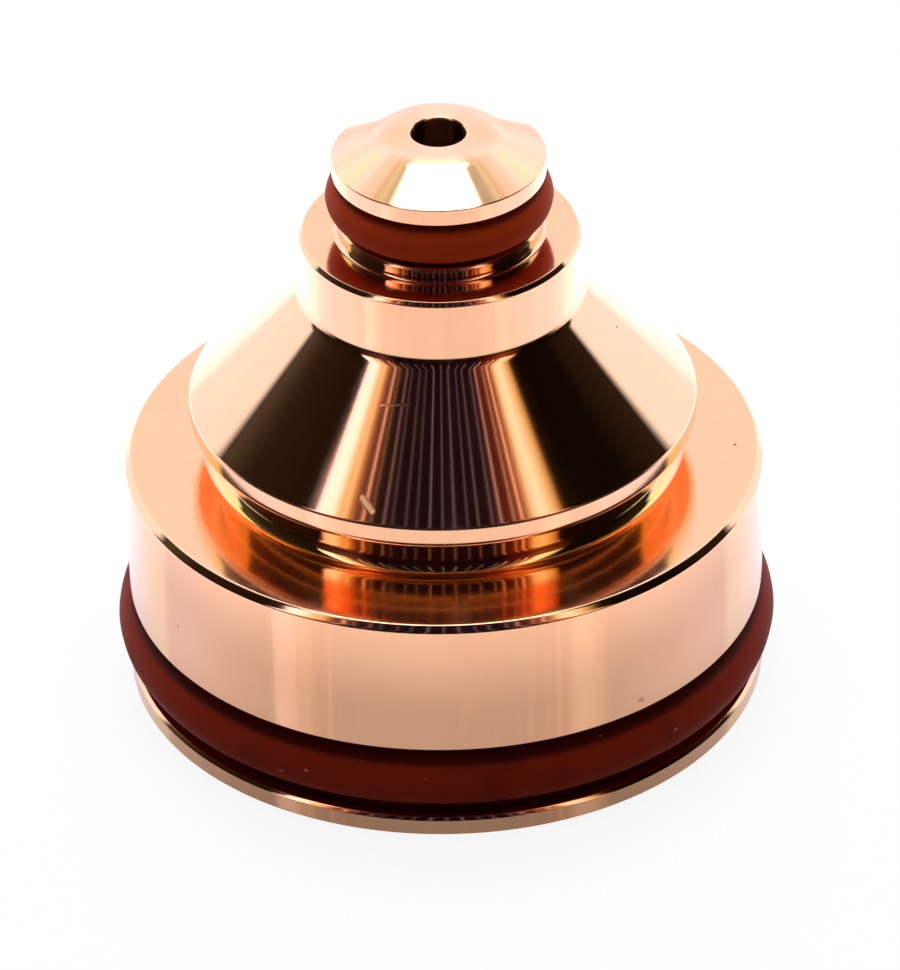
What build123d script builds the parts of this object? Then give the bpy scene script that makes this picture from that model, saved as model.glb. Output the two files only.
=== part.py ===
from build123d import *
from math import radians, tan
import os

# Plasma torch nozzle, all sizes in millimetres and degrees.
# The axis is Z, the orifice points up, and the origin is on the axis at the rear face.
# One turned copper body carries two elastomer sealing rings in open glands:
# a large one at the rear and a small one behind the tip.

# Rear lip, below the large gland
lip_radius = 15.05
lip_thickness = 0.9
lip_chamfer = 0.15

# Large sealing ring, how far it stands out past the guide band, and its gland
base_ring_section = 2.62
base_ring_proud = 0.57
base_gland_width = 3.75

# Guide band, the widest part of the body
base_radius = 15.0
base_height = 6.9
base_top_chamfer = 0.28
gland_edge_break = 0.12

# Coolant undercut, the low neck under the cone
neck_radius = 10.5
neck_height = 2.14
neck_foot_fillet = 0.75

# Cone with its rim, which stands out past the low neck
rim_overhang = 1.36
rim_height = 1.16
rim_under_round = 0.4
rim_top_break = 0.06
cone_slope = 46.3

# Collar on top of the cone
collar_radius = 6.53
collar_height = 3.15
collar_foot_fillet = 0.8
collar_chamfer = 0.18

# Small sealing ring, how far it stands out past the tip head, its gland and the short neck below
tip_neck_radius = 4.7
tip_neck_height = 0.69
tip_neck_fillet = 0.25
tip_ring_section = 2.0
tip_ring_proud = 0.33
tip_gland_width = 2.49

# Tip head with its conical nose
head_radius = 4.94
head_land = 0.81
head_edge_break = 0.04
nose_slope = 27.5
nose_corner_radius = 2.59
nose_round = 2.0

# Rear bore, where the gas ring seats on a shoulder, with its wall under the large gland
seat_wall = 2.42
seat_depth = 6.0
seat_mouth_chamfer = 0.4

# Arc chamber, a straight bore inside the low neck that closes in two tapers to the orifice
chamber_wall = 2.9
chamber_straight = 7.5
chamber_half_angle = 30.0
throat_radius = 2.2
throat_half_angle = 60.0
orifice_radius = 1.25
orifice_edge_break = 0.09

# Space between a ring and the floor of its gland
ring_clearance = 0.03

# Middle of each ring's section, and the floor of the gland under it
base_ring_radius = base_radius + base_ring_proud - base_ring_section / 2
tip_ring_radius = head_radius + tip_ring_proud - tip_ring_section / 2
base_gland_radius = base_ring_radius - base_ring_section / 2 - ring_clearance
tip_gland_radius = tip_ring_radius - tip_ring_section / 2 - ring_clearance

# The rim follows the low neck
rim_radius = neck_radius + rim_overhang

# Bores, inside the walls that the outside leaves them
seat_radius = base_gland_radius - seat_wall
chamber_radius = neck_radius - chamber_wall

# Heights of the outside, one on top of the other
z_lip_top = lip_thickness
z_base_low = z_lip_top + base_gland_width
z_base_top = z_base_low + base_height
z_rim_low = z_base_top + neck_height
z_rim_top = z_rim_low + rim_height
z_collar_foot = z_rim_top + (rim_radius - collar_radius) * tan(radians(cone_slope))
z_collar_top = z_collar_foot + collar_height
z_tip_shoulder = z_collar_top + tip_neck_height
z_head_low = z_tip_shoulder + tip_gland_width
z_head_top = z_head_low + head_land
z_tip = z_head_top + (head_radius - nose_corner_radius) * tan(radians(nose_slope))

# Heights of the bores
z_taper = seat_depth + chamber_straight
z_throat = z_taper + (chamber_radius - throat_radius) / tan(radians(chamber_half_angle))
z_orifice = z_throat + (throat_radius - orifice_radius) / tan(radians(throat_half_angle))


def outside_points():
    """Outer profile from the rear face up to the tip, as radius and height."""
    return [
        (lip_radius, 0),
        (lip_radius, z_lip_top),
        (base_gland_radius, z_lip_top),
        (base_gland_radius, z_base_low),
        (base_radius, z_base_low),
        (base_radius, z_base_top),
        (neck_radius, z_base_top),
        (neck_radius, z_rim_low),
        (rim_radius, z_rim_low),
        (rim_radius, z_rim_top),
        (collar_radius, z_collar_foot),
        (collar_radius, z_collar_top),
        (tip_neck_radius, z_collar_top),
        (tip_neck_radius, z_tip_shoulder),
        (tip_gland_radius, z_tip_shoulder),
        (tip_gland_radius, z_head_low),
        (head_radius, z_head_low),
        (head_radius, z_head_top),
        (nose_corner_radius, z_tip),
    ]


def inside_points():
    """Bore profile from the tip back down to the rear face."""
    return [
        (orifice_radius, z_tip),
        (orifice_radius, z_orifice),
        (throat_radius, z_throat),
        (chamber_radius, z_taper),
        (chamber_radius, seat_depth),
        (seat_radius, seat_depth),
        (seat_radius, 0),
    ]


def corner(face, radius, height):
    """The profile's corner nearest to a radius and height."""
    return face.vertices().sort_by_distance(Vector(radius, height))[0]


def turned_profile():
    """Half section of the body, with every edge broken or rounded as it is turned."""
    face = make_face(Polyline(*outside_points(), *inside_points(), close=True))

    rounds = [
        (neck_radius, z_base_top, neck_foot_fillet),
        (rim_radius, z_rim_low, rim_under_round),
        (collar_radius, z_collar_foot, collar_foot_fillet),
        (tip_neck_radius, z_collar_top, tip_neck_fillet),
        (nose_corner_radius, z_tip, nose_round),
    ]
    for radius, height, size in rounds:
        face = fillet(corner(face, radius, height), size)

    breaks = [
        (lip_radius, z_lip_top, lip_chamfer),
        (base_radius, z_base_low, gland_edge_break),
        (base_radius, z_base_top, base_top_chamfer),
        (rim_radius, z_rim_top, rim_top_break),
        (collar_radius, z_collar_top, collar_chamfer),
        (tip_neck_radius, z_tip_shoulder, gland_edge_break),
        (head_radius, z_head_low, head_edge_break),
        (head_radius, z_head_top, head_edge_break),
        (orifice_radius, z_tip, orifice_edge_break),
        (seat_radius, 0, seat_mouth_chamfer),
    ]
    for radius, height, size in breaks:
        face = chamfer(corner(face, radius, height), size)

    return face


def nozzle_body():
    """The copper body, one piece turned from bar."""
    return revolve(Plane.XZ * turned_profile(), axis=Axis.Z)


def sealing_ring(radius, section, low, high):
    """A round-section ring that lies midway between the two walls of its gland."""
    return Pos(0, 0, (low + high) / 2) * Torus(radius, section / 2)


parts = {
    "nozzle_body": nozzle_body(),
    "base_sealing_ring": sealing_ring(base_ring_radius, base_ring_section, z_lip_top, z_base_low),
    "tip_sealing_ring": sealing_ring(tip_ring_radius, tip_ring_section, z_tip_shoulder, z_head_low),
}

os.makedirs("parts", exist_ok=True)
for name, shape in parts.items():
    export_step(shape, f"parts/{name}.step")
    box = shape.bounding_box()
    print(f"{name}: {shape.volume:.1f} mm3, z {box.min.Z:.2f} to {box.max.Z:.2f}")
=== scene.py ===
import math
from collections import namedtuple
from types import SimpleNamespace

import bpy
import numpy as np
from bpy.props import FloatProperty, FloatVectorProperty, IntProperty, PointerProperty
from mathutils import Matrix, Vector


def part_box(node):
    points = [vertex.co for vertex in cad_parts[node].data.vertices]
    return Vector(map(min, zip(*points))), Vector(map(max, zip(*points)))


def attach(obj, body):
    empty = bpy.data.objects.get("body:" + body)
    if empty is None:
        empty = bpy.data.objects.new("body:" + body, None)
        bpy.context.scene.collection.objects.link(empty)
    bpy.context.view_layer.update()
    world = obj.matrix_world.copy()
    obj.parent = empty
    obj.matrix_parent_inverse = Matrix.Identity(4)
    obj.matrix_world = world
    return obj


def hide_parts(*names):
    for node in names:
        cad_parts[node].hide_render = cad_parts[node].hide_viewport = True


bl_info = {
    "name": "Plasma torch nozzle",
    "version": (1, 0, 0),
    "blender": (4, 5, 0),
    "location": "3D View > Sidebar > Nozzle",
    "description": "Turns a copper nozzle, fits its two sealing rings and sets up the studio around it",
    "category": "Object",
}

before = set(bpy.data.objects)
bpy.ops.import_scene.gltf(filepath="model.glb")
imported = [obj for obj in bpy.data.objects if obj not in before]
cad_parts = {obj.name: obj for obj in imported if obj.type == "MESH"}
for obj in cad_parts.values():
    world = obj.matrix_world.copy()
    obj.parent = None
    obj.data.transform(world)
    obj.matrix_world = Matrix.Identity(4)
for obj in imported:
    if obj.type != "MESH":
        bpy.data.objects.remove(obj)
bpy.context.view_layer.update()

MM = 0.001

# The front of the nozzle faces -Y. Azimuths are counted from there towards +X, and elevations from
# the floor up, both in degrees.
BACK = 180.0
ZENITH = 90.0


def size(label, millimetres, about):
    """A length, given here in millimetres."""
    return FloatProperty(
        name=label,
        description=about,
        default=millimetres * MM,
        min=0.0,
        unit="LENGTH",
        precision=5,
    )


def angle(label, degrees, about):
    """An angle, given here in degrees."""
    return FloatProperty(name=label, description=about, default=math.radians(degrees), unit="ROTATION")


def share(label, value, about):
    """A share from 0 to 1."""
    return FloatProperty(
        name=label, description=about, default=value, min=0.0, max=1.0, subtype="FACTOR"
    )


def level(label, value, about):
    """A brightness, where 1 is the white of the page."""
    return FloatProperty(name=label, description=about, default=value, min=0.0)


def colour(label, rgb, about):
    """A colour in linear red, green and blue."""
    return FloatVectorProperty(
        name=label, description=about, default=rgb, min=0.0, max=1.0, subtype="COLOR"
    )


class BodySizes(bpy.types.PropertyGroup):
    """Sizes of the turned body"""

    lip_radius: size("Lip radius", 15.05, "Outside of the rear lip")
    lip_thickness: size("Lip thickness", 0.9, "Rear lip under the large gland")
    lip_bevel: size("Lip bevel", 0.15, "Bevel on the gland side of the rear lip")
    base_gland_radius: size("Base gland radius", 12.92, "Floor of the large gland")
    base_gland_width: size("Base gland width", 3.75, "Opening of the large gland")
    base_radius: size("Base radius", 15.0, "Guide band, the widest part of the body")
    base_height: size("Base height", 6.9, "Guide band, measured along the axis")
    base_bevel: size("Base bevel", 0.28, "Bevel on the top edge of the guide band")
    gland_break: size("Gland edge break", 0.12, "Small bevel where a gland opens")
    neck_radius: size("Neck radius", 10.5, "Coolant undercut below the cone")
    neck_height: size("Neck height", 2.14, "Opening of the coolant undercut")
    neck_fillet: size("Neck fillet", 0.75, "Round at the foot of the undercut")
    rim_radius: size("Rim radius", 11.86, "Rim of the cone")
    rim_height: size("Rim height", 1.16, "Straight band on the rim of the cone")
    rim_round: size("Rim round", 0.4, "Round on the lower edge of the rim")
    rim_break: size("Rim edge break", 0.06, "Small bevel where the cone begins")
    cone_slope: angle("Cone slope", 46.3, "Slope of the cone against the rear face")
    collar_radius: size("Collar radius", 6.53, "Collar on top of the cone")
    collar_height: size("Collar height", 3.15, "Collar, measured along the axis")
    collar_fillet: size("Collar fillet", 0.8, "Round between the cone and the collar")
    collar_bevel: size("Collar bevel", 0.18, "Bevel on the top edge of the collar")
    tip_neck_radius: size("Tip neck radius", 4.7, "Neck under the small gland")
    tip_neck_height: size("Tip neck height", 0.69, "Neck under the small gland, along the axis")
    tip_neck_fillet: size("Tip neck fillet", 0.25, "Round at the foot of the tip neck")
    tip_gland_radius: size("Tip gland radius", 3.24, "Floor of the small gland")
    tip_gland_width: size("Tip gland width", 2.49, "Opening of the small gland")
    head_radius: size("Head radius", 4.94, "Tip head in front of the small gland")
    head_land: size("Head land", 0.81, "Straight band on the tip head")
    head_break: size("Head edge break", 0.04, "Small bevels on the tip head")
    nose_slope: angle("Nose slope", 27.5, "Slope of the nose against the rear face")
    nose_radius: size("Nose radius", 2.59, "Where the nose meets the flat tip")
    nose_round: size("Nose round", 2.0, "Round between the nose and the flat tip")
    orifice_radius: size("Orifice radius", 1.25, "Arc orifice in the tip")
    orifice_break: size("Orifice edge break", 0.09, "Small bevel on the orifice")
    throat_radius: size("Throat radius", 2.2, "Where the two tapers of the arc chamber meet")
    throat_angle: angle("Throat angle", 60.0, "Half angle of the short taper")
    chamber_radius: size("Chamber radius", 7.6, "Straight part of the arc chamber")
    chamber_straight: size("Chamber straight", 7.5, "Straight part of the arc chamber, along the axis")
    chamber_angle: angle("Chamber angle", 30.0, "Half angle of the long taper")
    seat_radius: size("Seat radius", 10.5, "Rear bore that holds the gas ring")
    seat_depth: size("Seat depth", 6.0, "Rear bore, along the axis")
    seat_bevel: size("Seat bevel", 0.4, "Bevel on the mouth of the rear bore")
    keen_edge: size("Keen edge", 0.03, "Radius left on every other edge by polishing")
    worn_edge: size("Worn edge", 0.1, "Radius of the edges that handling has rounded more")
    steps_around: IntProperty(
        name="Steps around",
        description="How many steps the body has around its axis",
        default=256,
        min=32,
        max=360,
    )


class RingSizes(bpy.types.PropertyGroup):
    """Sizes of the sealing rings that the frame doesn't give"""

    flash_height: size("Flash height", 0.02, "Mould line left around a ring")
    flash_width: size("Flash width", 0.09, "Width of the mould line")
    steps_around: IntProperty(
        name="Steps around", description="Steps around the axis", default=256, min=32, max=512
    )
    steps_section: IntProperty(
        name="Steps in section", description="Steps around the section", default=64, min=16, max=128
    )


class Finish(bpy.types.PropertyGroup):
    """Colours and finishes"""

    copper: colour("Copper", (0.935, 0.51, 0.315), "Polished copper")
    golden: colour("Golden film", (0.92, 0.545, 0.245), "Copper in the undercut neck")
    tarnish: colour("Tarnish", (0.80, 0.33, 0.18), "Copper where it has dulled a little")
    bore: colour("Bored copper", (0.4, 0.17, 0.1), "Copper inside the bores")
    stain: colour("Stain", (0.08, 0.03, 0.015), "Small dark spots on the copper")
    base_rubber: colour("Base ring", (0.28, 0.022, 0.006), "Red-brown rubber of the large ring")
    base_rubber_dull: colour("Base ring, dull", (0.22, 0.02, 0.009), "The same where it has dulled")
    # The small ring is the same rubber as the large one, painted brighter to stand in for the stronger
    # light that falls on it
    tip_rubber_painted_lit: colour("Tip ring", (0.5, 0.05, 0.008), "Brighter rubber of the small ring")
    tip_rubber_painted_lit_dull: colour("Tip ring, dull", (0.42, 0.045, 0.012), "The same where it has dulled")
    # Painted shade: a dark colour on the upper side of each ring that stands in for the shadow of the gland
    # over it
    painted_gland_shade: colour("Grease", (0.02, 0.004, 0.002), "Old grease along the upper side of a ring")
    dust: colour("Dust", (0.5, 0.38, 0.33), "Specks of dust")
    copper_roughness: share("Copper roughness", 0.07, "Roughness of the polished copper")
    face_roughness: share("Face roughness", 0.2, "Roughness of the flat tip")
    bore_roughness: share("Bore roughness", 0.22, "Roughness of the bored copper")
    rubber_roughness: share("Rubber roughness", 0.5, "Roughness of the rubber")
    rubber_gloss: share("Rubber gloss", 0.05, "Strength of the rubber's reflections")
    grain: share("Grain", 1.0, "How much the turning marks stretch a reflection along the profile")


class Studio(bpy.types.PropertyGroup):
    """Lit cards, floor and camera"""

    dome: size("Dome radius", 500.0, "Distance of the lit cards from the nozzle")
    overhead: level("Overhead softbox", 4.0, "Brightness of the softbox above")
    tent: level("Tent", 1.0, "Brightness of the white tent, as a share of its own light")
    strips: level("Strips", 1.0, "Brightness of the strip lights, as a share of their own light")
    slats: level("Slats", 1.0, "Brightness of the thin slats, as a share of their own light")
    backdrop: level("Backdrop", 1.0, "Brightness of the dark cloth, as a share of its own light")
    floor_near: level("Floor", 0.9, "White of the floor around the nozzle, before its lamps")
    camera_distance: size("Camera distance", 359.8, "From the guide band's lower edge on the axis")
    camera_height: angle("Camera height", 34.505, "How far the camera stands above the floor")
    camera_pitch: angle("Camera pitch", 33.887, "How far the camera looks down")
    camera_yaw: angle("Camera yaw", 0.051, "How far the camera looks to the right")
    camera_roll: angle("Camera roll", -0.965, "How far the camera leans")
    lens: FloatProperty(
        name="Lens", description="Focal length", default=281.2, min=1.0, unit="CAMERA"
    )


# A corner of the half section: without a round of its own, it is left as a keen edge
Corner = namedtuple("Corner", "radius height round bevel", defaults=(None, 0.0))

# A half section: its points, the way along it, where keen edges stand out (1) or go in (-1), and
# what lies in the bores
Section = namedtuple("Section", "points along edge bored")

# Steps of wide and of keen roundings, the longest step of a straight run, and how near each of its
# ends a run has a point of its own
ARC_STEP = math.radians(6)
KEEN_STEP = math.radians(22.5)
LONGEST_RUN = 1.5 * MM
SUPPORT = 0.06 * MM

# How far the vertices of the CAD body may lie from the turned section
PROFILE_TOLERANCE = 0.06 * MM


def section_heights(s):
    """Heights of the section's corners, one on top of the other."""
    h = SimpleNamespace()
    h.lip_top = s.lip_thickness
    h.base_low = h.lip_top + s.base_gland_width
    h.base_top = h.base_low + s.base_height
    h.rim_low = h.base_top + s.neck_height
    h.rim_top = h.rim_low + s.rim_height
    h.collar_foot = h.rim_top + (s.rim_radius - s.collar_radius) * math.tan(s.cone_slope)
    h.collar_top = h.collar_foot + s.collar_height
    h.tip_shoulder = h.collar_top + s.tip_neck_height
    h.head_low = h.tip_shoulder + s.tip_gland_width
    h.head_top = h.head_low + s.head_land
    h.tip = h.head_top + (s.head_radius - s.nose_radius) * math.tan(s.nose_slope)
    h.taper = s.seat_depth + s.chamber_straight
    h.throat = h.taper + (s.chamber_radius - s.throat_radius) / math.tan(s.chamber_angle)
    h.orifice = h.throat + (s.throat_radius - s.orifice_radius) / math.tan(s.throat_angle)
    return h


def outside_corners(s, h):
    """Corners of the outside, from the rear face up to the tip."""
    return [
        Corner(s.lip_radius, 0.0),
        Corner(s.lip_radius, h.lip_top, bevel=s.lip_bevel),
        Corner(s.base_gland_radius, h.lip_top),
        Corner(s.base_gland_radius, h.base_low),
        Corner(s.base_radius, h.base_low, bevel=s.gland_break),
        Corner(s.base_radius, h.base_top, round=s.worn_edge, bevel=s.base_bevel),
        Corner(s.neck_radius, h.base_top, round=s.neck_fillet),
        Corner(s.neck_radius, h.rim_low),
        Corner(s.rim_radius, h.rim_low, round=s.rim_round),
        Corner(s.rim_radius, h.rim_top, bevel=s.rim_break),
        Corner(s.collar_radius, h.collar_foot, round=s.collar_fillet),
        Corner(s.collar_radius, h.collar_top, bevel=s.collar_bevel),
        Corner(s.tip_neck_radius, h.collar_top, round=s.tip_neck_fillet),
        Corner(s.tip_neck_radius, h.tip_shoulder, bevel=s.gland_break),
        Corner(s.tip_gland_radius, h.tip_shoulder),
        Corner(s.tip_gland_radius, h.head_low),
        Corner(s.head_radius, h.head_low, bevel=s.head_break),
        Corner(s.head_radius, h.head_top),
        Corner(s.nose_radius, h.tip, round=s.nose_round),
        Corner(s.orifice_radius, h.tip, round=s.worn_edge, bevel=s.orifice_break),
    ]


def bore_corners(s, h):
    """Corners of the bores, from the orifice back down to the rear face."""
    return [
        Corner(s.orifice_radius, h.orifice),
        Corner(s.throat_radius, h.throat),
        Corner(s.chamber_radius, h.taper),
        Corner(s.chamber_radius, s.seat_depth),
        Corner(s.seat_radius, s.seat_depth),
        Corner(s.seat_radius, 0.0, bevel=s.seat_bevel),
    ]


def unit(vector):
    """The vector at a length of one."""
    return vector / np.linalg.norm(vector)


def neighbours(corners, i):
    """Points of the corner before, the corner itself and the one after it."""
    ring = [corners[i - 1], corners[i], corners[(i + 1) % len(corners)]]
    return [np.array((c.radius, c.height)) for c in ring]


def bevelled(corners):
    """The same corners, where each bevelled one has become the two ends of its bevel."""
    made = []
    for i, c in enumerate(corners):
        if c.bevel == 0.0:
            made.append(c)
            continue
        before, at, after = neighbours(corners, i)
        for side in (before, after):
            end = at + unit(side - at) * c.bevel
            made.append(Corner(end[0], end[1], round=c.round))
    return made


def arc_at(before, at, after, radius):
    """Points of the arc that rounds one corner, and how far the corner turns to the left."""
    back, on = unit(before - at), unit(after - at)
    half = math.acos(np.clip(back @ on, -1, 1)) / 2
    turn = math.pi - 2 * half
    left = back[0] * on[1] - back[1] * on[0] < 0
    middle = at + unit(back + on) * radius / math.sin(half)
    reach = radius / math.tan(half)
    first, last = at + back * reach - middle, at + on * reach - middle
    steps = max(2, math.ceil(turn / (ARC_STEP if radius > 4 * SUPPORT else KEEN_STEP)))
    t = np.linspace(0, 1, steps + 1)[:, None]
    points = middle + (np.sin((1 - t) * turn) * first + np.sin(t * turn) * last) / math.sin(turn)
    return points, turn if left else -turn


def run_between(start, end):
    """Points inside a straight run: one close to each end, which keeps the run straight when it is
    shaded smooth, and more between them on a long run."""
    length = np.linalg.norm(end - start)
    if length < 3 * SUPPORT:
        return np.empty((0, 2))
    pieces = max(1, math.ceil((length - 2 * SUPPORT) / LONGEST_RUN))
    t = np.linspace(SUPPORT, length - SUPPORT, pieces + 1)[:, None] / length
    return start + (end - start) * t


def whole_section(points, edge, bored):
    """A closed section with the way along it up to each point."""
    steps = np.linalg.norm(np.diff(points, axis=0, append=points[:1]), axis=1)
    return Section(points, np.concatenate([[0.0], np.cumsum(steps)]), edge, bored)


def closed_section(s):
    """The half section as points in order, with what the materials need to know of each."""
    h = section_heights(s)
    outer = outside_corners(s, h)
    corners = bevelled(outer + bore_corners(s, h))
    bore_start = len(bevelled(outer)) - 1
    arcs = []
    for i, c in enumerate(corners):
        radius = s.keen_edge if c.round is None else c.round
        arcs.append(arc_at(*neighbours(corners, i), radius))
    points, edge, bored = [], [], []
    for i, (arc, turn) in enumerate(arcs):
        run = run_between(arc[-1], arcs[(i + 1) % len(arcs)][0][0])
        keen = corners[i].round is None
        points += [*arc, *run]
        edge += [math.copysign(1.0, turn) if keen else 0.0] * len(arc) + [0.0] * len(run)
        bored += [i >= bore_start] * (len(arc) + len(run))
    return whole_section(np.array(points), np.array(edge), np.array(bored))


def turned_mesh(name, section, steps_around, materials):
    """Turns a closed section round the axis. UV map "turned" holds the share of a turn and the
    way along the section in millimetres, and attribute "edge" says where an edge is."""
    rows, turns = len(section.points), np.arange(steps_around) / steps_around
    phi = 2 * math.pi * (turns - 0.5)
    radius, height = section.points[:, 0, None], section.points[:, 1, None]
    x, y = radius * np.sin(phi), -radius * np.cos(phi)
    vertices = np.stack([x, y, np.broadcast_to(height, x.shape)], axis=-1).reshape(-1, 3)

    row, step = np.meshgrid(np.arange(rows), np.arange(steps_around), indexing="ij")
    next_row, next_step = (row + 1) % rows, (step + 1) % steps_around
    corners = [(row, step), (row, next_step), (next_row, next_step), (next_row, step)]
    faces = np.stack([r * steps_around + a for r, a in corners], axis=-1).reshape(-1, 4)

    mesh = bpy.data.meshes.new(name)
    mesh.from_pydata(vertices.tolist(), [], faces.tolist())
    mesh.shade_smooth()

    around = np.stack([step, step + 1, step + 1, step], axis=-1) / steps_around
    low, high = section.along[:-1, None], section.along[1:, None]
    along = np.stack([low, low, high, high], axis=-1) / MM
    uv = np.stack([around, np.broadcast_to(along, around.shape)], axis=-1)
    layer = mesh.uv_layers.new(name="turned")
    layer.uv.foreach_set("vector", uv.astype(np.float32).ravel())

    edge = mesh.attributes.new("edge", "FLOAT", "POINT")
    edge.data.foreach_set("value", np.repeat(section.edge, steps_around).astype(np.float32))
    for material in materials:
        mesh.materials.append(material)
    slots = np.repeat(section.bored.astype(np.int32), steps_around)
    mesh.polygons.foreach_set("material_index", slots)
    mesh.update()
    return mesh


def link_object(name, data):
    """Puts a mesh or a camera in the scene as an object."""
    made = bpy.data.objects.new(name, data)
    bpy.context.scene.collection.objects.link(made)
    return made


def farthest_from(section, node):
    """The greatest distance of a CAD node's vertices from the turned section."""
    co = np.array([v.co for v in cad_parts[node].data.vertices])
    at = np.stack([np.hypot(co[:, 0], co[:, 1]), co[:, 2]], axis=1)[:, None]
    start = section.points
    leg = np.roll(start, -1, axis=0) - start
    t = ((at - start) * leg).sum(-1) / (leg * leg).sum(-1)
    gap = at - (start + leg * t.clip(0, 1)[..., None])
    return np.linalg.norm(gap, axis=-1).min(axis=1).max()


# Material building


def fill(tree, socket, value):
    """Gives a socket its value, or links it to the socket that the value comes from."""
    if isinstance(value, bpy.types.NodeSocket):
        tree.links.new(value, socket)
    elif socket.type == "RGBA" and len(value) == 3:
        socket.default_value = (*value, 1.0)
    else:
        socket.default_value = value


def add(tree, kind, inputs=None, **settings):
    """Adds one node with its settings and inputs."""
    made = tree.nodes.new(kind)
    for key, value in settings.items():
        setattr(made, key, value)
    for key, value in (inputs or {}).items():
        fill(tree, made.inputs[key], value)
    return made


def maths(tree, operation, *values, clamp=False):
    """The result of one maths node."""
    made = add(tree, "ShaderNodeMath", dict(enumerate(values)), operation=operation, use_clamp=clamp)
    return made.outputs["Value"]


def vectors(tree, operation, *values, output="Vector"):
    """The result of one vector maths node."""
    made = add(tree, "ShaderNodeVectorMath", dict(enumerate(values)), operation=operation)
    return made.outputs[output]


def mapped(tree, value, low, high, to_low=0.0, to_high=1.0):
    """The value, smoothly mapped from one range to another."""
    inputs = {"Value": value, "From Min": low, "From Max": high, "To Min": to_low, "To Max": to_high}
    return add(tree, "ShaderNodeMapRange", inputs, interpolation_type="SMOOTHSTEP").outputs["Result"]


def mixed(tree, factor, first, second):
    """Two colours mixed by a factor."""
    made = add(tree, "ShaderNodeMix", data_type="RGBA")
    for socket, value in zip([made.inputs[0], *made.inputs[6:8]], (factor, first, second)):
        fill(tree, socket, value)
    return made.outputs[2]


def weighted(tree, *pairs):
    """The sum of masks, each times its weight."""
    total = None
    for mask, weight in pairs:
        part = maths(tree, "MULTIPLY", mask, weight)
        total = part if total is None else maths(tree, "ADD", total, part)
    return total


def empty_tree(owner):
    """The node tree of a material or a world, with nothing in it yet."""
    owner.use_nodes = True
    owner.node_tree.nodes.clear()
    return owner.node_tree


def noise(tree, vector, scale, detail=2.0, roughness=0.5):
    """Soft noise in three dimensions, from 0 to 1."""
    inputs = {"Vector": vector, "Scale": scale, "Detail": detail, "Roughness": roughness}
    return add(tree, "ShaderNodeTexNoise", inputs).outputs["Fac"]


def noise_along(tree, at, detail):
    """Noise along one line, from 0 to 1."""
    inputs = {"W": at, "Scale": 1.0, "Detail": detail}
    return add(tree, "ShaderNodeTexNoise", inputs, noise_dimensions="1D").outputs["Fac"]


def object_millimetres(tree):
    """The point on the object, in millimetres."""
    coordinates = tree.nodes.new("ShaderNodeTexCoord")
    return vectors(tree, "MULTIPLY", coordinates.outputs["Object"], (1 / MM,) * 3)


def height_on_part(tree):
    """The height on the part, in millimetres."""
    return add(tree, "ShaderNodeSeparateXYZ", {"Vector": object_millimetres(tree)}).outputs["Z"]


def turned_place(tree):
    """The share of a turn and the way along the section, as two values."""
    point = add(tree, "ShaderNodeUVMap", uv_map="turned").outputs["UV"]
    parts = add(tree, "ShaderNodeSeparateXYZ", {"Vector": point}).outputs
    return parts["X"], parts["Y"]


# Effects that more than one material uses. The broad turning marks are this share as dense as the
# fine ones, noise in this range makes a streak, and a smudge fades out over this share of its noise.
BROAD_MARKS = 0.13
STREAK_RANGE = (0.45, 0.75)
SMUDGE_SOFTNESS = 0.25


def turning_marks(tree, given):
    """Fine rings left by the tool: layers of noise that change only along the profile."""
    _, along = turned_place(tree)
    feed = maths(tree, "DIVIDE", along, given["Feed"])
    fine = noise_along(tree, feed, 1.0)
    broad = noise_along(tree, maths(tree, "MULTIPLY", feed, BROAD_MARKS), 2.0)
    return weighted(tree, (fine, 1.0), (broad, given["Waviness"]))


def wiped_streaks(tree, given):
    """Faint streaks along the profile, as a cloth leaves them."""
    around, along = turned_place(tree)
    across = maths(tree, "MULTIPLY", around, given["Around"])
    down = maths(tree, "MULTIPLY", along, given["Along"])
    point = add(tree, "ShaderNodeCombineXYZ", {"X": across, "Y": down}).outputs["Vector"]
    return mapped(tree, noise(tree, point, 1.0, detail=3.0), *STREAK_RANGE)


def smudges(tree, given):
    """Soft patches, as polishing cloth and fingers leave them."""
    patches = noise(tree, object_millimetres(tree), given["Scale"], detail=3.0, roughness=0.6)
    low = maths(tree, "SUBTRACT", 1.0, given["Cover"])
    high = maths(tree, "ADD", low, SMUDGE_SOFTNESS)
    return mapped(tree, patches, low, high)


def specks(tree, given):
    """Small scattered specks, each in its own cell and only in some of the cells."""
    cells = add(tree, "ShaderNodeTexVoronoi", {"Vector": object_millimetres(tree), "Scale": given["Scale"]})
    chance = add(tree, "ShaderNodeSeparateColor", {"Color": cells.outputs["Color"]}).outputs["Red"]
    chosen = maths(tree, "LESS_THAN", chance, given["Share"])
    near = mapped(tree, cells.outputs["Distance"], 0.0, given["Size"], 1.0, 0.0)
    return maths(tree, "MULTIPLY", near, chosen)


def placed_mark(tree, given):
    """One scratch or spot: a soft line between two points given in millimetres."""
    off = vectors(tree, "SUBTRACT", object_millimetres(tree), given["Start"])
    leg = vectors(tree, "SUBTRACT", given["End"], given["Start"])
    reach = vectors(tree, "DOT_PRODUCT", off, leg, output="Value")
    whole = vectors(tree, "DOT_PRODUCT", leg, leg, output="Value")
    along = maths(tree, "DIVIDE", reach, whole, clamp=True)
    nearest = add(tree, "ShaderNodeVectorMath", {0: leg, "Scale": along}, operation="SCALE").outputs[0]
    gap = vectors(tree, "DISTANCE", off, nearest, output="Value")
    return mapped(tree, gap, 0.0, given["Width"], 1.0, 0.0)


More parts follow.
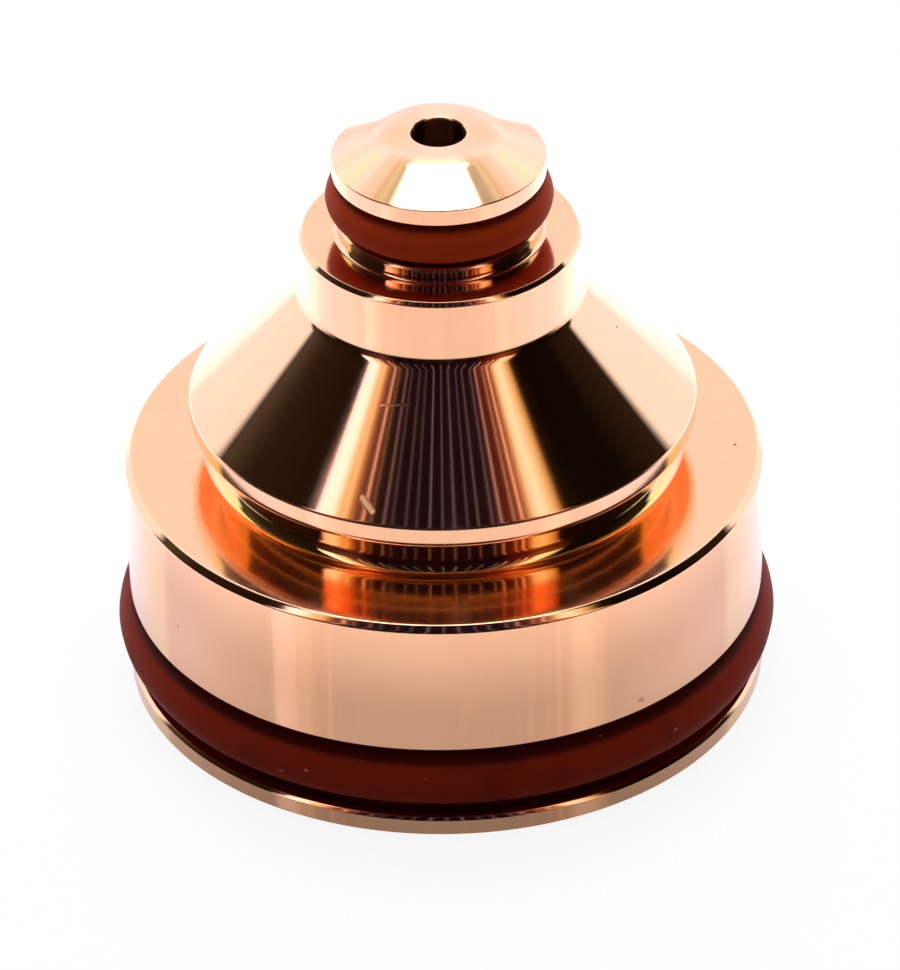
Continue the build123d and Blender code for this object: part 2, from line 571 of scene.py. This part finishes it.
# What builds an effect's nodes, the name of its output, and its inputs with their defaults
Effect = namedtuple("Effect", "build output inputs")
EFFECTS = {
    "Turning marks": Effect(turning_marks, "Height", {"Feed": 0.12, "Waviness": 2.0}),
    "Wiped streaks": Effect(wiped_streaks, "Mask", {"Around": 40.0, "Along": 0.2}),
    "Smudges": Effect(smudges, "Mask", {"Scale": 0.1, "Cover": 0.5}),
    "Specks": Effect(specks, "Mask", {"Scale": 1.0, "Share": 0.1, "Size": 0.1}),
    "Placed mark": Effect(placed_mark, "Mask", {"Start": (0.0,) * 3, "End": (0.0,) * 3, "Width": 0.1}),
}


def effect_group(name):
    """The node group of an effect, which is built at its first use."""
    if name in bpy.data.node_groups:
        return bpy.data.node_groups[name]
    effect = EFFECTS[name]
    tree = bpy.data.node_groups.new(name, "ShaderNodeTree")
    for label, default in effect.inputs.items():
        kind = "NodeSocketVector" if isinstance(default, tuple) else "NodeSocketFloat"
        socket = tree.interface.new_socket(label, in_out="INPUT", socket_type=kind)
        socket.default_value = default
    tree.interface.new_socket(effect.output, in_out="OUTPUT", socket_type="NodeSocketFloat")
    given = tree.nodes.new("NodeGroupInput").outputs
    result = tree.nodes.new("NodeGroupOutput")
    tree.links.new(effect.build(tree, given), result.inputs[effect.output])
    return tree


def use(tree, name, **inputs):
    """The result of an effect, placed with these inputs."""
    made = tree.nodes.new("ShaderNodeGroup")
    made.node_tree = effect_group(name)
    for key, value in inputs.items():
        fill(tree, made.inputs[key.capitalize()], value)
    return made.outputs[EFFECTS[name].output]


# Small marks that this nozzle carries, each by azimuth, radius and height at its two ends, with its
# width in millimetres and its strength
Mark = namedtuple("Mark", "start end width strength")

NICKS = [
    Mark((-20.0, 11.05, 15.70), (-17.0, 11.42, 15.31), 0.2, 1.0),
    Mark((-20.9, 8.05, 18.84), (-11.0, 7.92, 18.98), 0.06, 0.22),
    Mark((5.6, 15.0, 9.18), (2.0, 15.0, 5.88), 0.35, 0.2),
]
STAINS = [
    Mark((-56.2, 15.0, 7.32), (-56.0, 15.0, 7.32), 0.09, 0.95),
    Mark((82.6, 8.19, 18.69), (82.8, 8.19, 18.69), 0.12, 0.8),
    Mark((88.5, 13.68, 11.55), (88.8, 13.68, 11.55), 0.12, 0.9),
    Mark((36.1, 15.0, 5.34), (36.6, 15.0, 5.30), 0.22, 0.45),
    Mark((37.2, 14.43, 0.9), (37.6, 14.43, 0.9), 0.08, 0.6),
]
RUBBER_GRIT = [
    Mark((-30.2, 15.55, 2.67), (-29.6, 15.55, 2.67), 0.07, 0.9),
    Mark((-25.4, 15.51, 3.07), (-24.9, 15.51, 3.05), 0.08, 0.8),
    Mark((28.2, 14.75, 3.97), (28.5, 14.75, 3.97), 0.07, 0.9),
    Mark((42.6, 15.51, 3.10), (43.0, 15.51, 3.12), 0.08, 0.8),
]


def point_on_part(azimuth, radius, height):
    """A point by azimuth in degrees, radius and height, as X, Y and Z."""
    phi = math.radians(azimuth)
    return radius * math.sin(phi), -radius * math.cos(phi), height


def placed_marks(tree, marks):
    """One mask for all the marks of a list."""
    masks = []
    for mark in marks:
        ends = {"start": point_on_part(*mark.start), "end": point_on_part(*mark.end)}
        masks.append((use(tree, "Placed mark", width=mark.width, **ends), mark.strength))
    return weighted(tree, *masks)


def new_material(name):
    """A new material, its node tree and its Principled shader."""
    material = bpy.data.materials.new(name)
    tree = empty_tree(material)
    shader = tree.nodes.new("ShaderNodeBsdfPrincipled")
    add(tree, "ShaderNodeOutputMaterial", {"Surface": shader.outputs["BSDF"]})
    return material, tree, shader


def edge_mask(tree):
    """How much a point lies on an outer edge, from 0 to 1."""
    edge = add(tree, "ShaderNodeAttribute", attribute_name="edge").outputs["Fac"]
    return maths(tree, "MAXIMUM", edge, 0.0)


# How strongly dust tints what it lies on
DUST_STRENGTH = 0.35

# Depth of a nick, how far below the tip's full height its rougher face sets in, and how softly the
# film in the neck begins
NICK_DEPTH = 0.01 * MM
FACE_DEPTH = 0.2 * MM
FILM_EDGE = 0.02 * MM

# A quarter of a turn sets the stretch of reflections across the turning marks
GRAIN_TURN = 0.25


def copper_finish(name, finish, base, roughness, feed, depth):
    """Turned copper. The marks of the tool run around it, so reflections stretch across them. Two
    functions give its base colour and its roughness, which may add nodes to the tree."""
    material, tree, shader = new_material(name)
    cloth = use(tree, "Smudges", scale=0.16, cover=0.55)
    film = use(tree, "Smudges", scale=0.7, cover=0.45)
    streaks = use(tree, "Wiped streaks", around=70.0, along=0.1)
    dust = use(tree, "Specks", scale=0.55, share=0.12, size=0.05)
    nicks = placed_marks(tree, NICKS)
    stains = placed_marks(tree, STAINS)

    dulled = weighted(tree, (cloth, 0.10), (streaks, 0.06), (nicks, 0.25))
    tone = mixed(tree, dulled, base(tree), tuple(finish.tarnish))
    tone = mixed(tree, maths(tree, "MULTIPLY", dust, DUST_STRENGTH), tone, tuple(finish.dust))
    tone = mixed(tree, stains, tone, tuple(finish.stain))
    fill(tree, shader.inputs["Base Color"], tone)

    wear = [(film, 0.015), (streaks, 0.03), (edge_mask(tree), 0.06), (dust, 0.3), (nicks, 0.35)]
    rough = maths(tree, "ADD", roughness(tree), weighted(tree, *wear))
    fill(tree, shader.inputs["Roughness"], rough)

    marks = use(tree, "Turning marks", feed=feed, waviness=2.0)
    grit = noise(tree, object_millimetres(tree), scale=3.0)
    height = weighted(tree, (marks, 1.0), (grit, 0.3), (nicks, -NICK_DEPTH / depth))
    bump = add(tree, "ShaderNodeBump", {"Height": height, "Strength": 1.0, "Distance": depth})
    fill(tree, shader.inputs["Normal"], bump.outputs["Normal"])

    shader.inputs["Metallic"].default_value = 1.0
    shader.inputs["Anisotropic"].default_value = finish.grain
    shader.inputs["Anisotropic Rotation"].default_value = GRAIN_TURN
    return material


def polished_copper(finish, h):
    """Copper on the outside: polished along the profile, a little rougher on the flat tip, and more
    golden in the undercut neck, where cooling water leaves a film."""

    def base(tree):
        up = height_on_part(tree)
        foot = mapped(tree, up, (h.base_top + FILM_EDGE) / MM, (h.base_top + 4 * FILM_EDGE) / MM)
        top = mapped(tree, up, (h.rim_low + FILM_EDGE) / MM, (h.rim_low + 4 * FILM_EDGE) / MM, 1.0, 0.0)
        film = maths(tree, "MULTIPLY", foot, top)
        return mixed(tree, film, tuple(finish.copper), tuple(finish.golden))

    def roughness(tree):
        low, high = (h.tip - FACE_DEPTH) / MM, (h.tip - FACE_DEPTH / 4) / MM
        return mapped(
            tree, height_on_part(tree), low, high, finish.copper_roughness, finish.face_roughness
        )

    return copper_finish("polished_copper", finish, base, roughness, feed=0.22, depth=0.0004 * MM)


def bored_copper(finish):
    """Copper inside, dulled and with coarser tool marks."""

    def base(tree):
        return tuple(finish.bore)

    def roughness(tree):
        return finish.bore_roughness

    return copper_finish("bored_copper", finish, base, roughness, feed=0.35, depth=0.004 * MM)


# Painted shade on a ring's upper side, where the gland above shades it: the shares of its height between
# which it sets in, and its strength above them
PAINTED_SHADE_SHARES = (0.87, 0.95)
PAINTED_SHADE_STRENGTH = 0.7
RUBBER_GRAIN_DEPTH = 0.01 * MM


def moulded_rubber(name, finish, fresh, dulled, low, high):
    """Moulded elastomer between two heights, smooth and nearly matt, with a little dust and with a
    painted shade darkening its upper side, where the gland closes over it and shades it."""
    material, tree, shader = new_material(name)
    # The painted shade: darker towards the top of the ring, standing in for the gland's shadow
    painted_shade_from, painted_shade_to = ((low + (high - low) * t) / MM for t in PAINTED_SHADE_SHARES)
    painted_gland_shade = mapped(tree, height_on_part(tree), painted_shade_from, painted_shade_to)
    film = use(tree, "Smudges", scale=0.25, cover=0.5)
    wiped = use(tree, "Wiped streaks", around=6.0, along=1.5)
    dust = use(tree, "Specks", scale=0.9, share=0.12, size=0.08)
    grit = placed_marks(tree, RUBBER_GRIT)

    tone = mixed(tree, film, tuple(fresh), tuple(dulled))
    tone = mixed(tree, maths(tree, "MULTIPLY", painted_gland_shade, PAINTED_SHADE_STRENGTH), tone, tuple(finish.painted_gland_shade))
    pale = maths(tree, "MAXIMUM", maths(tree, "MULTIPLY", dust, DUST_STRENGTH), grit)
    tone = mixed(tree, pale, tone, tuple(finish.dust))
    fill(tree, shader.inputs["Base Color"], tone)

    rough = weighted(tree, (film, 0.10), (wiped, 0.08), (dust, 0.2))
    fill(tree, shader.inputs["Roughness"], maths(tree, "ADD", finish.rubber_roughness, rough))

    grain = noise(tree, object_millimetres(tree), scale=12.0, detail=4.0)
    height = weighted(tree, (grain, 1.0), (dust, 1.0), (grit, 2.0))
    inputs = {"Height": height, "Strength": 1.0, "Distance": RUBBER_GRAIN_DEPTH}
    bump = add(tree, "ShaderNodeBump", inputs)
    fill(tree, shader.inputs["Normal"], bump.outputs["Normal"])

    shader.inputs["Specular IOR Level"].default_value = finish.rubber_gloss
    return material


class NOZZLE_OT_turn_body(bpy.types.Operator):
    """Turn the copper body on its axis, in the place of the plain solid"""

    bl_idname = "nozzle.turn_body"
    bl_label = "Turn copper body"

    def execute(self, context):
        sizes, finish = context.scene.nozzle_body, context.scene.nozzle_finish
        section = closed_section(sizes)
        if farthest_from(section, "nozzle_body") > PROFILE_TOLERANCE:
            raise RuntimeError("the turned section doesn't follow the CAD body")
        materials = [polished_copper(finish, section_heights(sizes)), bored_copper(finish)]
        mesh = turned_mesh("turned_body", section, sizes.steps_around, materials)
        body = link_object("turned_body", mesh)
        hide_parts("nozzle_body")
        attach(body, "root")
        return {"FINISHED"}


def ring_section(low, high, sizes):
    """The round section of a ring, with the thin mould line around its inside and outside."""
    section_radius = (high.z - low.z) / 2
    middle = np.array((high.x - section_radius, (high.z + low.z) / 2))
    theta = np.linspace(0, 2 * math.pi, sizes.steps_section, endpoint=False)
    off_line = np.abs(np.sin(theta)) * section_radius
    flash = sizes.flash_height * np.exp(-((off_line / (sizes.flash_width / 2)) ** 2))
    radius = section_radius - sizes.flash_height + flash
    points = middle + radius[:, None] * np.stack([np.cos(theta), np.sin(theta)], axis=1)
    return whole_section(points, np.zeros(len(points)), np.zeros(len(points), dtype=bool))


class NOZZLE_OT_fit_rings(bpy.types.Operator):
    """Fit the two sealing rings in their glands, in the place of the plain solids"""

    bl_idname = "nozzle.fit_rings"
    bl_label = "Fit sealing rings"

    def execute(self, context):
        sizes, finish = context.scene.nozzle_rings, context.scene.nozzle_finish
        rings = {
            "base": (finish.base_rubber, finish.base_rubber_dull),
            # The small ring's colours are painted brighter in place of the stronger light that falls on it
            "tip": (finish.tip_rubber_painted_lit, finish.tip_rubber_painted_lit_dull),
        }
        for place, colours in rings.items():
            node = f"{place}_sealing_ring"
            low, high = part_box(node)
            rubber = moulded_rubber(f"{place}_ring_rubber", finish, *colours, low.z, high.z)
            section = ring_section(low, high, sizes)
            mesh = turned_mesh(f"{place}_o_ring", section, sizes.steps_around, [rubber])
            ring = link_object(f"{place}_o_ring", mesh)
            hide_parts(node)
            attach(ring, "root")
        return {"FINISHED"}


# The studio: lit cards on a dome around the nozzle, which the camera doesn't see. A place on a card
# is given by azimuth and elevation, and a light by its red, green and blue, where 1 is the white of
# the page. The two strips and the backdrop are lit by azimuth.

LEFT_STRIP = [
    (-64.6, (2.1, 1.95, 2.4)),
    (-57.0, (2.0, 1.85, 2.05)),
    (-55.0, (1.3, 1.1, 0.7)),
    (-53.0, (1.0, 0.72, 0.28)),
    (-51.2, (1.25, 1.15, 0.7)),
    (-49.0, (0.66, 0.27, 0.08)),
    (-46.0, (0.15, 0.08, 0.07)),
]
RIGHT_STRIP = [
    (42.5, (0.45, 0.22, 0.06)),
    (44.5, (0.85, 0.6, 0.26)),
    (46.3, (1.4, 1.3, 1.0)),
    (51.0, (1.5, 1.48, 1.3)),
    (53.0, (1.25, 1.2, 0.85)),
    (57.0, (0.9, 0.7, 0.28)),
    (59.5, (0.3, 0.12, 0.03)),
]
STRIP_HEIGHT = (26.0, 66.0)

# Thin lit slats between the two strips: azimuth, level, and warmth from 0 to 1. Across a slat its
# light rises and falls by SLAT_PROFILE.
SLATS = [
    (-42.5, 1.65, 0.9),
    (-38.5, 0.33, 0.9),
    (-32.0, 0.36, 0.55),
    (-27.7, 0.15, 0.3),
    (-20.7, 0.15, 0.3),
    (-15.0, 0.135, 0.1),
    (-8.0, 0.255, 0.05),
    (-1.3, 0.165, 0.0),
    (5.0, 0.24, 0.0),
    (12.0, 0.15, 0.05),
    (17.7, 0.21, 0.3),
    (25.0, 0.24, 0.35),
    (29.5, 0.825, 0.6),
    (36.0, 0.75, 0.9),
    (40.0, 1.8, 0.85),
]
SLAT_HALF_WIDTH = 0.85
SLAT_PROFILE = (0.0, 0.75, 1.0, 0.75, 0.0)
SLAT_COOL, SLAT_WARM = (0.62, 0.62, 1.05), (1.0, 0.57, 0.35)

# The dark cloth behind the strips, lit a little by them
BACKDROP = [
    (-112.0, (0.1, 0.09, 0.07)),
    (-100.0, (0.03, 0.02, 0.012)),
    (-66.0, (0.012, 0.007, 0.003)),
    (-46.0, (0.13, 0.05, 0.05)),
    (-36.0, (0.01, 0.003, 0.007)),
    (26.0, (0.012, 0.003, 0.009)),
    (38.0, (0.15, 0.017, 0.008)),
    (45.0, (0.32, 0.08, 0.02)),
    (61.0, (0.006, 0.003, 0.001)),
    (90.0, (0.006, 0.004, 0.002)),
    (112.0, (0.03, 0.02, 0.01)),
]
BACKDROP_REACH = 122.0

# The white tent, by elevation: its front edge, its light beside the nozzle and its light straight
# behind it, which takes over between two azimuths. Near its front edge a part of it is tinted gold.
TENT_LOW = -3.0
TENT_EDGE = [(-3.0, 110.5), (23.0, 110.5), (35.0, 119.5), (50.0, 117.0), (62.0, 112.0)]
TENT_SOFT = 5.5
TENT_LIGHT = [
    (20.0, (1.25, 1.42, 1.6)),
    (38.0, (1.5, 1.7, 2.05)),
    (48.0, (1.4, 1.5, 1.8)),
    (53.0, (1.3, 1.2, 1.25)),
    (56.0, (1.45, 1.35, 1.45)),
    (59.5, (0.95, 0.93, 0.72)),
    (63.0, (1.05, 1.2, 0.95)),
    (66.0, (0.92, 1.0, 0.8)),
    (70.0, (0.95, 1.15, 1.12)),
]
TENT_BACK_LIGHT = [
    (6.0, (1.2, 1.1, 1.2)),
    (20.0, (1.6, 1.6, 2.1)),
    (26.0, (1.6, 1.6, 2.1)),
    (29.5, (1.3, 1.22, 1.28)),
    (39.5, (1.3, 1.22, 1.28)),
    (45.0, (1.6, 1.7, 2.2)),
    (56.0, (1.6, 1.7, 2.2)),
    (61.0, (0.95, 0.85, 0.75)),
    (70.0, (0.9, 0.9, 0.9)),
]
TENT_BACK_BETWEEN = (135.0, 172.0)
TENT_GOLD = (0.75, 1.0, 0.5)
TENT_GOLD_TO = (128.0, 142.0)
TENT_GOLD_HEIGHTS = (24.0, 30.0), (40.0, 47.0)

# The softbox above: its edges as shares of its height over the floor
OVERHEAD_X = (-0.363, 0.308)
OVERHEAD_Y = (-0.1, 0.577)

# How near the cards stand, as shares of the dome's radius
OVERHEAD_NEARER = 0.9
CARDS_NEARER = 0.97
TENT_NEARER = 0.985

# How finely the cards are divided
BACKDROP_COLUMNS, BACKDROP_ROWS = 62, 10
STRIP_COLUMNS, STRIP_ROWS = 19, 6
TENT_EDGE_COLUMNS, TENT_COLUMNS, TENT_ROWS = 5, 8, 32
OVERHEAD_STEPS = 4


def on_dome(radius, azimuth, elevation):
    """Points on the dome, from azimuths and elevations in degrees."""
    az, el = np.radians(azimuth), np.radians(elevation)
    toward = [np.sin(az) * np.cos(el), -np.cos(az) * np.cos(el), np.sin(el)]
    return radius * np.stack(toward, axis=-1)


def light_at(value, stops):
    """The light at each value, in between the stops of a list."""
    places = [place for place, _ in stops]
    return np.stack([np.interp(value, places, [rgb[k] for _, rgb in stops]) for k in range(3)], axis=-1)


def ramp(value, low, high):
    """Rises smoothly from 0 at low to 1 at high."""
    t = np.clip((value - low) / (high - low), 0, 1)
    return t * t * (3 - 2 * t)


def lit_sheet(name, points, light, material):
    """A card from a grid of points, lit by the light given at each."""
    rows, columns = points.shape[:2]
    index = np.arange(rows * columns).reshape(rows, columns)
    faces = np.stack([index[:-1, :-1], index[:-1, 1:], index[1:, 1:], index[1:, :-1]], axis=-1)
    mesh = bpy.data.meshes.new(name)
    mesh.from_pydata(points.reshape(-1, 3).tolist(), [], faces.reshape(-1, 4).tolist())
    glow = mesh.attributes.new("glow", "FLOAT_COLOR", "POINT")
    rgba = np.concatenate([light, np.ones(light.shape[:2] + (1,))], axis=-1)
    glow.data.foreach_set("color", rgba.astype(np.float32).ravel())
    mesh.materials.append(material)
    card = link_object(name, mesh)
    card.visible_camera = False
    card.visible_shadow = False


def tall_card(name, azimuths, light, heights, radius, material, rows=STRIP_ROWS):
    """An upright card that is lit by azimuth alone."""
    az, el = np.meshgrid(azimuths, np.linspace(*heights, rows))
    lit_sheet(name, on_dome(radius, az, el), np.broadcast_to(light, az.shape + (3,)), material)


def make_backdrop(studio, material):
    """The dark cloth in front of the nozzle, up to the top of the dome."""
    az = np.linspace(-BACKDROP_REACH, BACKDROP_REACH, BACKDROP_COLUMNS)
    light = light_at(az, BACKDROP) * studio.backdrop
    heights = (TENT_LOW, ZENITH)
    tall_card("dark_backdrop", az, light, heights, studio.dome, material, rows=BACKDROP_ROWS)


def make_strips(studio, material):
    """The two tall strip lights, whose light changes from white to gold across them."""
    for name, stops in (("left_strip", LEFT_STRIP), ("right_strip", RIGHT_STRIP)):
        az = np.linspace(stops[0][0], stops[-1][0], STRIP_COLUMNS)
        light = light_at(az, stops) * studio.strips
        tall_card(name, az, light, STRIP_HEIGHT, studio.dome * CARDS_NEARER, material)


def make_slats(studio, material):
    """A row of thin lit slats, warm at its ends and cool and dim in the middle."""
    cool, warm = np.array(SLAT_COOL), np.array(SLAT_WARM)
    profile = np.array(SLAT_PROFILE)[:, None]
    across = np.linspace(-SLAT_HALF_WIDTH, SLAT_HALF_WIDTH, len(profile))
    radius = studio.dome * CARDS_NEARER
    for i, (azimuth, bright, warmth) in enumerate(SLATS):
        light = profile * (cool + (warm - cool) * warmth) * bright * studio.slats
        tall_card(f"slat_{i + 1}", azimuth + across, light, STRIP_HEIGHT, radius, material)


def make_tent(studio, material):
    """The white tent, with a soft edge on each side of the nozzle."""
    el = np.linspace(TENT_LOW, ZENITH, TENT_ROWS)[:, None]
    edge = np.interp(el, *zip(*TENT_EDGE))
    near = edge + np.linspace(0, TENT_SOFT, TENT_EDGE_COLUMNS)
    far = edge + TENT_SOFT + (BACK - edge - TENT_SOFT) * np.linspace(0.1, 1, TENT_COLUMNS)
    az = np.concatenate([near, far], axis=1)
    el = np.broadcast_to(el, az.shape)
    soft = ramp(az, edge, edge + TENT_SOFT)[..., None]
    back = ramp(az, *TENT_BACK_BETWEEN)[..., None]
    rise, fall = TENT_GOLD_HEIGHTS
    gold = (1 - ramp(az, *TENT_GOLD_TO)) * ramp(el, *rise) * (1 - ramp(el, *fall))
    tint = 1 + (np.array(TENT_GOLD) - 1) * gold[..., None]
    light = light_at(el, TENT_LIGHT) * (1 - back) + light_at(el, TENT_BACK_LIGHT) * back
    light = light * soft * tint * studio.tent
    for side, name in ((-1, "tent_left"), (1, "tent_right")):
        lit_sheet(name, on_dome(studio.dome * TENT_NEARER, side * az, el), light, material)


def make_overhead(studio, material):
    """The softbox above the nozzle."""
    sides = [np.linspace(*side, OVERHEAD_STEPS) for side in (OVERHEAD_X, OVERHEAD_Y)]
    x, y = np.meshgrid(*sides)
    points = np.stack([x, y, np.ones_like(x)], axis=-1) * studio.dome * OVERHEAD_NEARER
    lit_sheet("overhead_softbox", points, np.full(x.shape + (3,), studio.overhead), material)


def card_material():
    """The cards glow in the colour that each of their points holds."""
    material = bpy.data.materials.new("lit_card")
    tree = empty_tree(material)
    glow = add(tree, "ShaderNodeAttribute", attribute_name="glow").outputs["Color"]
    emission = add(tree, "ShaderNodeEmission", {"Color": glow, "Strength": 1.0})
    add(tree, "ShaderNodeOutputMaterial", {"Surface": emission.outputs["Emission"]})
    return material


# The floor lies just below the nozzle. For the camera its own white rises to the page's over the
# shade's reach, and it gives back a little of the cards' light, which its shadow lacks.
FLOOR_RADIUS, FLOOR_SIDES = 490.0 * MM, 96
FLOOR_DROP = 0.02 * MM
FLOOR_SHADE_REACH = (60.0 * MM, 200.0 * MM)
FLOOR_SHADE = (0.12, 0.12, 0.12)

# Under the nozzle only this share of its light is left, for the camera and in reflections
FLOOR_COVERED, FLOOR_COVERED_SHARE = (10.5 * MM, 15.0 * MM), 0.1

# The floor in reflections: its light at the nozzle's foot and what it gains in two steps away from
# it, then what it gains beside and behind the nozzle, by the share of the way to the front, its
# tints in front and beside, where it ends in the dark in front, and its gloss
FLOOR_FOOT = 0.3
FLOOR_STEP, FLOOR_STEP_GAIN = (15.5 * MM, 22.0 * MM), 0.3
FLOOR_CLEAR, FLOOR_CLEAR_GAIN = (24.0 * MM, 32.0 * MM), 0.44
FLOOR_SIDE, FLOOR_SIDE_GAIN = (0.2, 0.95), 0.3
FLOOR_BEHIND, FLOOR_BEHIND_GAIN = (-0.6, 0.1), 0.25
FLOOR_TINTS = (1.0, 1.0, 1.0), (0.96, 0.98, 1.12)
FLOOR_END, FLOOR_END_FRONT = (60.0 * MM, 100.0 * MM), (-0.3, 0.1)
FLOOR_GLOSS, FLOOR_GLOSS_ROUGHNESS = 0.13, 0.07

# The floor as it lights what is not polished
FLOOR_PAPER = (0.42, 0.42, 0.42)


def floor_in_metal(tree, position, away, lit):
    """What polished metal shows of the floor: a lit page that darkens near the nozzle's front, with
    a faint gloss that carries the strips."""
    depth = add(tree, "ShaderNodeSeparateXYZ", {"Vector": position}).outputs["Y"]
    front = maths(tree, "DIVIDE", maths(tree, "MULTIPLY", depth, -1.0), away)
    side = mapped(tree, front, *FLOOR_SIDE, 1.0, 0.0)
    gains = [
        (mapped(tree, away, *FLOOR_STEP), FLOOR_STEP_GAIN),
        (mapped(tree, away, *FLOOR_CLEAR), FLOOR_CLEAR_GAIN),
        (side, FLOOR_SIDE_GAIN),
        (mapped(tree, front, *FLOOR_BEHIND, 1.0, 0.0), FLOOR_BEHIND_GAIN),
    ]
    bright = maths(tree, "ADD", FLOOR_FOOT, weighted(tree, *gains))
    dark = maths(tree, "MULTIPLY", mapped(tree, away, *FLOOR_END), mapped(tree, front, *FLOOR_END_FRONT))
    bright = maths(tree, "MULTIPLY", bright, maths(tree, "SUBTRACT", 1.0, dark))
    bright = maths(tree, "MULTIPLY", bright, lit)
    page = add(tree, "ShaderNodeEmission", {"Color": mixed(tree, side, *FLOOR_TINTS), "Strength": bright})
    inputs = {"Color": (FLOOR_GLOSS,) * 3, "Roughness": FLOOR_GLOSS_ROUGHNESS}
    gloss = add(tree, "ShaderNodeBsdfGlossy", inputs)
    return add(tree, "ShaderNodeAddShader", {0: page.outputs[0], 1: gloss.outputs[0]}).outputs[0]


def floor_material(studio):
    """Pale floor. The camera sees it as white with a soft shadow, metal sees it lit, and to all else
    it is plain paper. From below it can't be seen at all."""
    material = bpy.data.materials.new("pale_floor")
    tree = empty_tree(material)
    rays = tree.nodes.new("ShaderNodeLightPath").outputs
    geometry = tree.nodes.new("ShaderNodeNewGeometry").outputs
    away = vectors(tree, "LENGTH", geometry["Position"], output="Value")

    lit = mapped(tree, away, *FLOOR_COVERED, FLOOR_COVERED_SHARE)
    white = mapped(tree, away, *FLOOR_SHADE_REACH, studio.floor_near, 1.0)
    white = maths(tree, "MULTIPLY", white, lit)
    seen = add(tree, "ShaderNodeEmission", {"Color": (1.0, 1.0, 1.0), "Strength": white})
    shade = add(tree, "ShaderNodeBsdfDiffuse", {"Color": FLOOR_SHADE})
    page = add(tree, "ShaderNodeAddShader", {0: seen.outputs[0], 1: shade.outputs[0]}).outputs[0]
    paper = add(tree, "ShaderNodeBsdfDiffuse", {"Color": FLOOR_PAPER}).outputs[0]
    metal = floor_in_metal(tree, geometry["Position"], away, lit)

    shown = paper
    for ray, look in (("Is Glossy Ray", metal), ("Is Camera Ray", page)):
        shown = add(tree, "ShaderNodeMixShader", {0: rays[ray], 1: shown, 2: look}).outputs[0]
    clear = tree.nodes.new("ShaderNodeBsdfTransparent").outputs[0]
    sided = add(tree, "ShaderNodeMixShader", {0: geometry["Backfacing"], 1: shown, 2: clear})
    add(tree, "ShaderNodeOutputMaterial", {"Surface": sided.outputs[0]})
    return material


def make_floor(studio):
    """A round pale floor under the nozzle."""
    mesh = bpy.data.meshes.new("floor")
    turn = np.linspace(0, 2 * math.pi, FLOOR_SIDES, endpoint=False)
    rim = np.stack([np.cos(turn), np.sin(turn), np.zeros_like(turn)], axis=1) * FLOOR_RADIUS
    mesh.from_pydata(rim.tolist(), [], [list(range(len(rim)))])
    mesh.materials.append(floor_material(studio))
    floor = link_object("floor", mesh)
    floor.location.z = -FLOOR_DROP


# Light of the dim room around the studio
WORLD_DIM = 0.004


def make_world():
    """White behind the nozzle for the camera, and a dim room for everything else."""
    world = bpy.data.worlds.new("studio")
    tree = empty_tree(world)
    rays = tree.nodes.new("ShaderNodeLightPath")
    bright = maths(tree, "MAXIMUM", rays.outputs["Is Camera Ray"], WORLD_DIM)
    background = add(tree, "ShaderNodeBackground", {"Color": (1.0, 1.0, 1.0), "Strength": bright})
    add(tree, "ShaderNodeOutputWorld", {"Surface": background.outputs["Background"]})
    bpy.context.scene.world = world


# Width of the camera's sensor in millimetres
SENSOR = 36.0


def make_camera(studio, pivot_height):
    """The camera, at the viewing angle of the photograph."""
    data = bpy.data.cameras.new("camera")
    data.lens = studio.lens
    data.sensor_width = SENSOR
    camera = link_object("camera", data)
    up, away = math.sin(studio.camera_height), math.cos(studio.camera_height)
    camera.location = Vector((0, -away, up)) * studio.camera_distance + Vector((0, 0, pivot_height))
    turn = (
        Matrix.Rotation(-studio.camera_yaw, 4, "Z")
        @ Matrix.Rotation(math.pi / 2 - studio.camera_pitch, 4, "X")
        @ Matrix.Rotation(studio.camera_roll, 4, "Z")
    )
    camera.rotation_euler = turn.to_euler()
    bpy.context.scene.camera = camera


class NOZZLE_OT_set_stage(bpy.types.Operator):
    """Set up the floor, the lit cards and the camera"""

    bl_idname = "nozzle.set_stage"
    bl_label = "Set up studio"

    def execute(self, context):
        studio, body = context.scene.nozzle_studio, context.scene.nozzle_body
        glow = card_material()
        make_floor(studio)
        make_world()
        make_backdrop(studio, glow)
        make_strips(studio, glow)
        make_slats(studio, glow)
        make_tent(studio, glow)
        make_overhead(studio, glow)
        make_camera(studio, body.lip_thickness + body.base_gland_width)
        context.scene.view_settings.view_transform = "Standard"
        return {"FINISHED"}


class NOZZLE_PT_sidebar(bpy.types.Panel):
    """Lists the steps that build the nozzle, and their sizes and colours"""

    bl_idname = "NOZZLE_PT_sidebar"
    bl_label = "Plasma torch nozzle"
    bl_space_type = "VIEW_3D"
    bl_region_type = "UI"
    bl_category = "Nozzle"

    def draw(self, context):
        for step, groups in STEPS:
            box = self.layout.box()
            box.operator(step.bl_idname)
            for name in groups:
                for key in GROUPS[name].__annotations__:
                    box.prop(getattr(context.scene, name), key)


GROUPS = {
    "nozzle_body": BodySizes,
    "nozzle_rings": RingSizes,
    "nozzle_finish": Finish,
    "nozzle_studio": Studio,
}
STEPS = [
    (NOZZLE_OT_turn_body, ["nozzle_body", "nozzle_finish"]),
    (NOZZLE_OT_fit_rings, ["nozzle_rings"]),
    (NOZZLE_OT_set_stage, ["nozzle_studio"]),
]
CLASSES = [*GROUPS.values(), *(step for step, _ in STEPS), NOZZLE_PT_sidebar]


def register():
    for kind in CLASSES:
        bpy.utils.register_class(kind)
    for name, kind in GROUPS.items():
        setattr(bpy.types.Scene, name, PointerProperty(type=kind))


def unregister():
    for name in GROUPS:
        delattr(bpy.types.Scene, name)
    for kind in reversed(CLASSES):
        bpy.utils.unregister_class(kind)


def main():
    """Builds the nozzle and its studio."""
    register()
    bpy.ops.nozzle.turn_body()
    bpy.ops.nozzle.fit_rings()
    bpy.ops.nozzle.set_stage()


if __name__ == "__main__":
    main()
